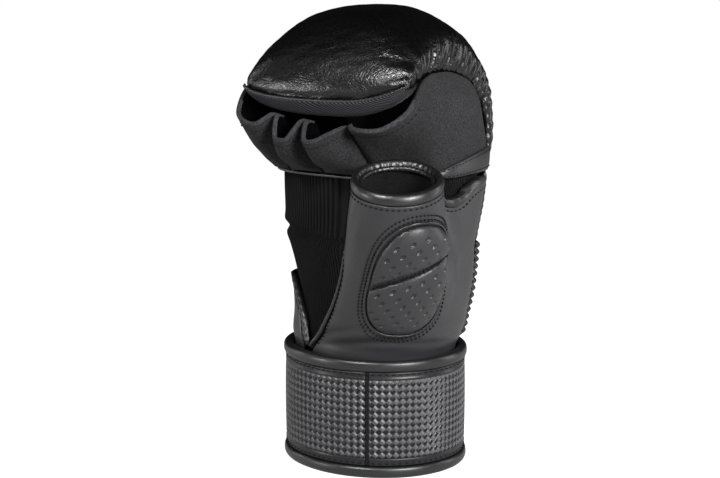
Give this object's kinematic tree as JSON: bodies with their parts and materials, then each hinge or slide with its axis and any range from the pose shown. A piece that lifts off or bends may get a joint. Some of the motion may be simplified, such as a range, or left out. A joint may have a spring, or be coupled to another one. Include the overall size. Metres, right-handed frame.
{
  "type": "sparring glove",
  "caption": "Open-finger sparring glove for the right hand, with a crowned knuckle pad, neoprene finger loops, a padded thumb sleeve and a wide wrist cuff that it stands on.",
  "frame": {"origin": "on the surface that the glove stands on, under the middle of its bounding box", "axes": "+Z from the wrist cuff to the knuckles, -Y the palm side where the fingers curl, +X the thumb side"},
  "size_m": [0.1266, 0.121, 0.2414],
  "materials": {
    "pad_leather": "glossy creased leather, gathered in pleats at the thumb-side flank",
    "gathered_lining": "matte gathered fabric",
    "neoprene": "matte knit-faced neoprene",
    "ribbed_elastic": "ribbed woven elastic",
    "shell_leather": "satin smooth synthetic leather, dark grey",
    "binding_leather": "rolled satin leather binding with stitching",
    "strap_leather": "embossed basket weave, satin dark grey"
  },
  "bodies": {
    "root": {"knuckle_pad": "pad_leather", "pad_underside": "gathered_lining", "index_panel": "neoprene", "middle_loop": "neoprene", "ring_loop": "neoprene", "little_panel": "neoprene", "ribbed_sleeve": "ribbed_elastic", "thumb_shell": "shell_leather", "thumb_sleeve_back": "shell_leather", "ulnar_panel": "shell_leather", "back_panel": "shell_leather", "flex_ribs": "shell_leather", "thumb_pad_upper": "shell_leather", "thumb_pad_lower": "shell_leather", "thumb_rim": "binding_leather", "facing_binding": "binding_leather", "web_binding": "binding_leather", "thumb_pad_piping": "binding_leather", "back_piping": "binding_leather", "ulnar_binding": "binding_leather", "finger_binding_palm": "binding_leather", "finger_binding_index": "binding_leather", "cuff_binding_top": "binding_leather", "cuff_binding_bottom": "binding_leather", "cuff_band": "strap_leather", "strap_panel_thumb_side": "strap_leather", "strap_panel_palm_side": "strap_leather", "strap_end": "strap_leather"}
  },
  "joints": []
}
